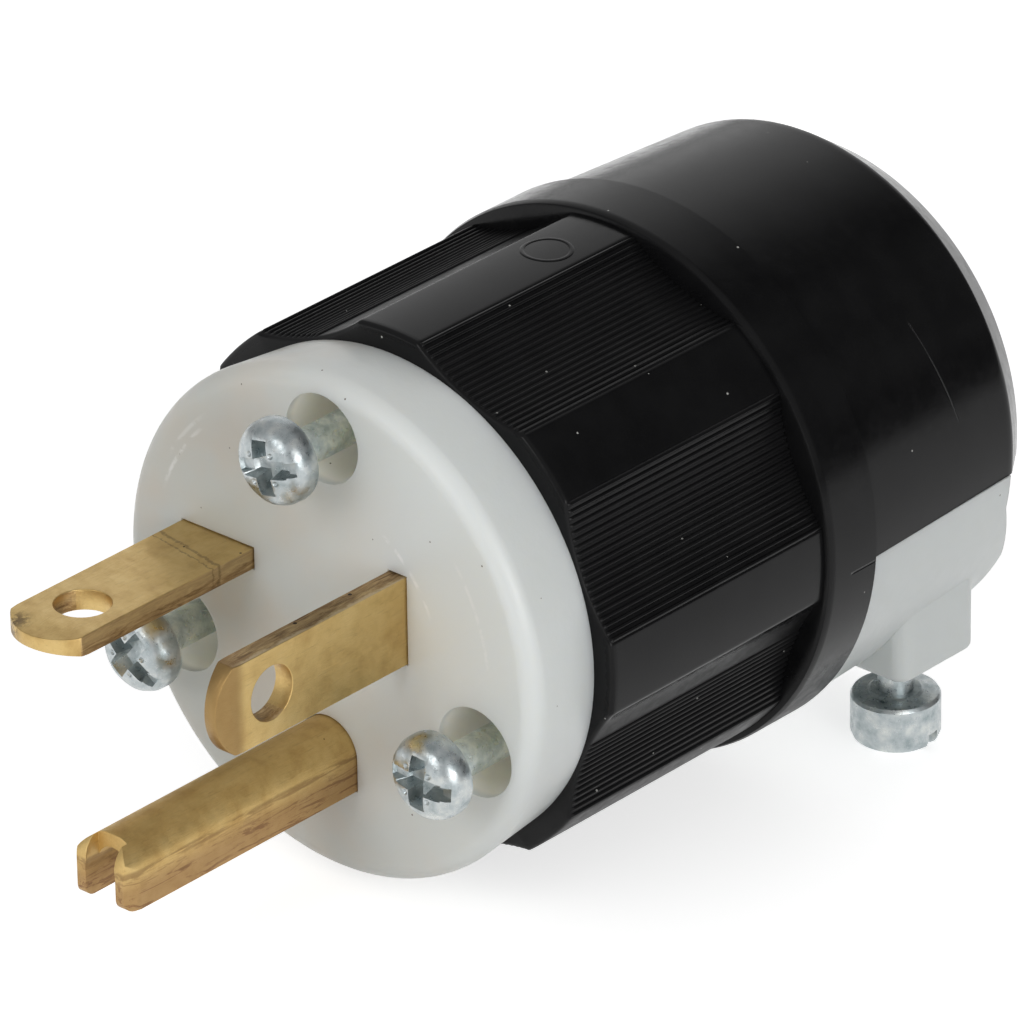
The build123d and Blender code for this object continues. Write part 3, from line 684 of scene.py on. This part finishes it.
def rib_rows_tree():
    """Ribs side by side in one flute, from one side of it."""
    tree, add, given = geometry_tree(
        "rib_rows", Rib="Object", Ribs="Int", First_Swing="Float", Pitch="Float", Flute_Axis="Float",
        Flute_Angle="Float", Front="Float", Finish="Material")
    rib = add("GeometryNodeObjectInfo", {"transform_space": "ORIGINAL"}, Object=given["Rib"])
    row = add("GeometryNodeMeshLine", {"mode": "OFFSET"}, Count=given["Ribs"], Offset=(0, 0, 0))
    index = add("GeometryNodeInputIndex").outputs[0]
    swing = add("ShaderNodeMath", {"operation": "MULTIPLY_ADD"}, i0=index, i1=given["Pitch"],
                i2=given["First Swing"])
    turn = add("ShaderNodeCombineXYZ", Y=swing.outputs[0])
    ribs = add("GeometryNodeInstanceOnPoints", Points=row.outputs[0], Instance=rib.outputs["Geometry"],
               Rotation=turn.outputs[0])
    shift = add("ShaderNodeCombineXYZ", X=given["Flute Axis"], Y=given["Front"])
    moved = add("GeometryNodeTransform", Geometry=ribs.outputs[0], Translation=shift.outputs[0])
    around = add("ShaderNodeCombineXYZ", Y=given["Flute Angle"])
    turned = add("GeometryNodeTransform", Geometry=moved.outputs[0], Rotation=around.outputs[0])
    real = add("GeometryNodeRealizeInstances", Geometry=turned.outputs[0])
    done = add("GeometryNodeSetMaterial", Geometry=real.outputs[0], Material=given["Finish"])
    add("NodeGroupOutput", Geometry=done.outputs[0])
    return tree


def grip_ribs(material):
    rib, tree = rib_form(), rib_rows_tree()
    pitch = 2 * FLUTE_SWEEP / FULL_ROW
    rows = []
    for flute, (count, side) in enumerate(RIB_ROWS):
        first, angle = side * (FLUTE_SWEEP - pitch / 2), math.radians((flute + 0.5) * 360 / FLUTES)
        rows.append(run_tree(
            tree, "rib_rows", Rib=rib, Ribs=count, First_Swing=first, Pitch=-side * pitch,
            Flute_Axis=(FLUTE_R + FLUTE_ARC) * MM, Flute_Angle=-angle, Front=(RIM_FRONT + 0.2) * MM,
            Finish=material))
    bpy.data.objects.remove(rib)
    return joined("ribs", *rows)


def housing(material):
    """Barrel, sleeve and ribs in one mesh, with the bosses, the clamp's fixed wall and the mould mark."""
    details = [saddle(sleeve_r(SADDLE_BACK) - 0.8), mould_mark()]
    screws = round_the_axis(SCREW_CIRCLE, SCREW_ANGLES)
    clamp = [(side * CLAMP_X, CLAMP_Y) for side in (-1, 1)]
    details += [tube(spot, "Y", BOSS_R, INSERT_R, BOSS_FRONT, INSERT_BACK) for spot in screws]
    details += [tube(spot, "Y", BOSS_R, CLEARANCE_R, INSERT_BACK, BOSS_BACK) for spot in screws]
    details += [tube(spot, "Z", LUG_BOSS_R, INSERT_R, CLAMP_SPLIT, LUG_INSERT_TOP) for spot in clamp]
    details += [tube(spot, "Z", LUG_BOSS_R, CLEARANCE_R, LUG_INSERT_TOP, LUG_BOSS_TOP) for spot in clamp]
    details += boss_webs()
    parts = barrel(material), solid_mesh("sleeve", sleeve(), *details), grip_ribs(material)
    body = add_object("black_housing", joined("black_housing", *parts))
    soften(body, 40)
    finished(body, material, "housing")


def wedge(length, width, floor, taper):
    """A cutter for one straight recess in a screw head that faces -Y: wider at the top than at its floor."""
    rings = []
    for y, share in ((-2, 1 + taper), (0, 1), (floor, 1 - taper)):
        a, b = length / 2 * share, width / 2 * share
        rings.append([(-a, y, -b), (a, y, -b), (a, y, b), (-a, y, b)])
    return loft(rings, caps=True)


def place_tree():
    """Copies of one form at the points of a mesh, each turned about one axis by its own angle."""
    tree, add, given = geometry_tree(
        "screw_places", Form="Object", Spots="Object", Axis="Vector", Finish="Material")
    form = add("GeometryNodeObjectInfo", {"transform_space": "ORIGINAL"}, Object=given["Form"])
    spots = add("GeometryNodeObjectInfo", {"transform_space": "ORIGINAL"}, Object=given["Spots"])
    turn = add("GeometryNodeInputNamedAttribute", {"data_type": "FLOAT"}, Name="turn")
    angle = add("ShaderNodeVectorMath", {"operation": "SCALE"}, i0=given["Axis"],
                Scale=turn.outputs["Attribute"])
    copies = add("GeometryNodeInstanceOnPoints", Points=spots.outputs["Geometry"],
                 Instance=form.outputs["Geometry"], Rotation=angle.outputs[0])
    real = add("GeometryNodeRealizeInstances", Geometry=copies.outputs[0])
    done = add("GeometryNodeSetMaterial", Geometry=real.outputs[0], Material=given["Finish"])
    add("NodeGroupOutput", Geometry=done.outputs[0])
    return tree


def placed_copies(tree, name, form, spots, turns, axis, material):
    mesh = bpy.data.meshes.new("spots")
    mesh.from_pydata([tuple(c * MM for c in spot) for spot in spots], [], [])
    mesh.attributes.new("turn", "FLOAT", "POINT").data.foreach_set("value", [math.radians(t) for t in turns])
    marks = add_object("spots", mesh)
    source = add_object("form", form)
    result = run_tree(tree, name, Form=source, Spots=marks, Axis=axis, Finish=material)
    for spent in (marks, source):
        bpy.data.objects.remove(spent)
    return result


def moved(form, x, y, z):
    points, faces = form
    return [(px + x, py + y, pz + z) for px, py, pz in points], faces


def shank(length, along):
    profile = [(SCREW_R, -0.3), (SCREW_R, length - 0.3), (SCREW_R - 0.3, length)]
    return solid_mesh("shank", lathe(profile, 40, along))


def assembly_screws(tree, material):
    """Pan heads with a cross and a slot, and small struck dots between the arms."""
    top = -SCREW_HEAD_H
    head = [(1.3, 0.0), (2.72, 0.0), (2.9, -0.12), (SCREW_HEAD_R, -0.4), (2.93, -1.1), (2.72, -1.62), (2.3, -2.02),
            (1.7, -2.27), (1.0, -2.38), (0.02, top)]
    recesses = wedge(5.4, 1.05, 0.95, 0.1), wedge(4.0, 1.3, 1.3, 0.3), wedge(1.3, 4.0, 1.3, 0.3)
    cuts = [moved(recess, 0, top, 0) for recess in recesses]
    dot = lathe([(0.01, 0.16), (0.2, -0.02), (0.32, -0.35)], 12)
    cuts += [moved(dot, x, top + 0.12, z) for x, z in round_the_axis(1.35, (45, 135, 225, 315))]
    form = joined("screw", carved("head", lathe(head, 72), *cuts), shank(SCREW_LENGTH, "Y"))
    spots = [(x, SCREW_SEAT + raised, z)
             for (x, z), raised in zip(round_the_axis(SCREW_CIRCLE, SCREW_ANGLES), (0, 0.3, 0))]
    mesh = placed_copies(tree, "zinc_assembly_screws", form, spots, (-12, 38, 4), (0, 1, 0), material)
    screws = add_object("zinc_assembly_screws", mesh)
    soften(screws, 28, 0.05)
    finished(screws, material, "assembly_screws")


def clamp_screws(tree, material):
    """Slotted cylinder heads with a raised collar round the shank."""
    h, r = CLAMP_HEAD_H, CLAMP_HEAD_R
    head = [(1.2, 0.05), (1.75, 0.05), (1.95, -0.08), (2.55, -0.12), (2.95, -0.2), (r, -0.45), (r, -h + 0.75),
            (r - 0.18, -h + 0.3), (r - 0.55, -h + 0.05), (r - 0.9, -h), (0.02, -h)]
    slot = loft([[(-4, -0.5, z), (4, -0.5, z), (4, 0.5, z), (-4, 0.5, z)] for z in (-h - 1, -h + 1.2)], caps=True)
    form = joined("screw", carved("head", lathe(head, 72, "Z"), slot), shank(CLAMP_LENGTH, "Z"))
    spots = [(-CLAMP_X, CLAMP_Y, CLAMP_SEAT), (CLAMP_X, CLAMP_Y, CLAMP_SEAT)]
    mesh = placed_copies(tree, "zinc_clamp_screws", form, spots, (20, 6), (0, 0, 1), material)
    screws = add_object("zinc_clamp_screws", mesh)
    soften(screws, 28, 0.05)
    finished(screws, material, "clamp_screws")


def place_camera():
    data = bpy.data.cameras.new("camera")
    data.lens = CAMERA_LENS
    data.sensor_width = 36.0
    data.clip_start, data.clip_end = 0.05, 20
    camera = add_object("camera", data)
    camera.location = CAMERA_PLACE
    camera.rotation_euler = Euler([math.radians(a) for a in CAMERA_TURN])
    bpy.context.scene.camera = camera


def area_lamp(name, place, aim, size, watts):
    data = bpy.data.lights.new(name, "AREA")
    data.shape = "DISK"
    data.size = size
    data.energy = watts
    lamp = add_object(name, data)
    lamp.location = place
    lamp.rotation_euler = (Vector(aim) - Vector(place)).to_track_quat("-Z", "Y").to_euler()


def studio():
    """A white floor under the plug, two large soft lamps in front, and a dome that is bright on the left."""
    grip_low, screw_low = (RIM_FRONT, -LAND_R), (CLAMP_Y, CLAMP_SEAT - CLAMP_HEAD_H)
    slope = (screw_low[1] - grip_low[1]) / (screw_low[0] - grip_low[0])
    height = (screw_low[1] - FLOOR_GAP - slope * screw_low[0]) * MM
    half = FLOOR_HALF
    corners = (-half, -half), (half, -half), (half, half), (-half, half)
    floor = add_object("floor", bpy.data.meshes.new("floor"))
    floor.data.from_pydata([(x, y, height + slope * y) for x, y in corners], [], [(0, 1, 2, 3)])
    f = Finish("white_floor")
    path = f.tree.nodes.new("ShaderNodeLightPath").outputs
    seen = f.math("ADD", path["Is Camera Ray"], path["Is Glossy Ray"], clamp=True)
    seen = f.math("ADD", seen, path["Is Transmission Ray"], clamp=True)
    f.set(
        Base_Color=(0.8, 0.8, 0.8, 1),
        Roughness=1.0,
        Specular_IOR_Level=0.0,
        Emission_Color=(1, 1, 1, 1),
        Emission_Strength=f.math("MULTIPLY", seen, 0.66),
    )
    floor.data.materials.append(f.material)
    area_lamp("right_lamp", (1.7, -0.65, 0.5), (0, 0.01, 0), 1.2, 12)
    area_lamp("front_lamp", (-0.1, -1.7, 0.9), (0, 0.01, 0), 1.0, 6.5)
    world = bpy.data.worlds.new("dome")
    world.use_nodes = True
    bpy.context.scene.world = world
    sky = Pattern(world.node_tree, "Generated")
    x, y, z = sky.parts()
    turn = sky.math("DIVIDE", sky.math("ARCTAN2", z, x), math.pi)
    behind = sky.ramp(turn, *((angle / 180, (level, level, level)) for angle, level in DOME_LEVELS))
    front = sky.ramp(sky.band(z, 0.0, 0.25), (0, (0.25, 0.25, 0.25)), (1, (0.5, 0.5, 0.5)))
    light = sky.mix(sky.band(y, 0.3, 0.58), front, behind)
    sky.tree.links.new(light, sky.tree.nodes["Background"].inputs["Color"])
    bpy.context.scene.view_settings.view_transform = "Standard"


def build():
    white = white_nylon("white_nylon")
    black = black_nylon("black_nylon", 0.15, 0.006)
    zinc_plate = zinc("zinc_plate", 0.28)
    front = copied_solid("blade_holder", "white_front", 30, 0.08)
    finished(front, white, "blade_holder")
    jaw = copied_solid("cord_clamp_jaw", "white_clamp_jaw", 30, 0.15)
    finished(jaw, white, "cord_clamp_jaw")
    for node, edge, marks in (("flat_line_blade", "X", "flat"), ("upright_line_blade", "Z", "upright")):
        blade = copied_solid(node, "brass_" + node, 30, 0.07)
        finished(blade, brass("brass_" + node, 0.34, edge, marks), node)
    opening = (-23, -12.5), (-20.7, -12.5), (-20.35, -9.0), (-20.35, -5), (-23, -5)
    notch = loft([[(x, y, z) for y, z in opening] for x in (-1.25, 1.25)], caps=True)
    pin = copied_solid("ground_pin", "brass_ground_pin", 30, 0.12, notch)
    finished(pin, brass("brass_ground_pin", 0.5, None, "pin"), "ground_pin")
    housing(black)
    screws = place_tree()
    assembly_screws(screws, zinc_plate)
    clamp_screws(screws, zinc_plate)
    plain_brass = brass("terminal_brass", 0.34)
    block = inner_plastic("block_nylon", (0.03, 0.03, 0.033))
    finishes = {"terminal_block": block, "ground_terminal_screw": green_plate("green_screw")}
    for name in ("terminal_block", "line_terminal_screws", "ground_terminal_screw", "flat_line_wire_clamp",
                 "upright_line_wire_clamp", "ground_wire_clamp", "assembly_screw_inserts", "clamp_screw_inserts"):
        nodes[name].data.materials.clear()
        nodes[name].data.materials.append(finishes.get(name, plain_brass))


place_camera()
studio()
build()
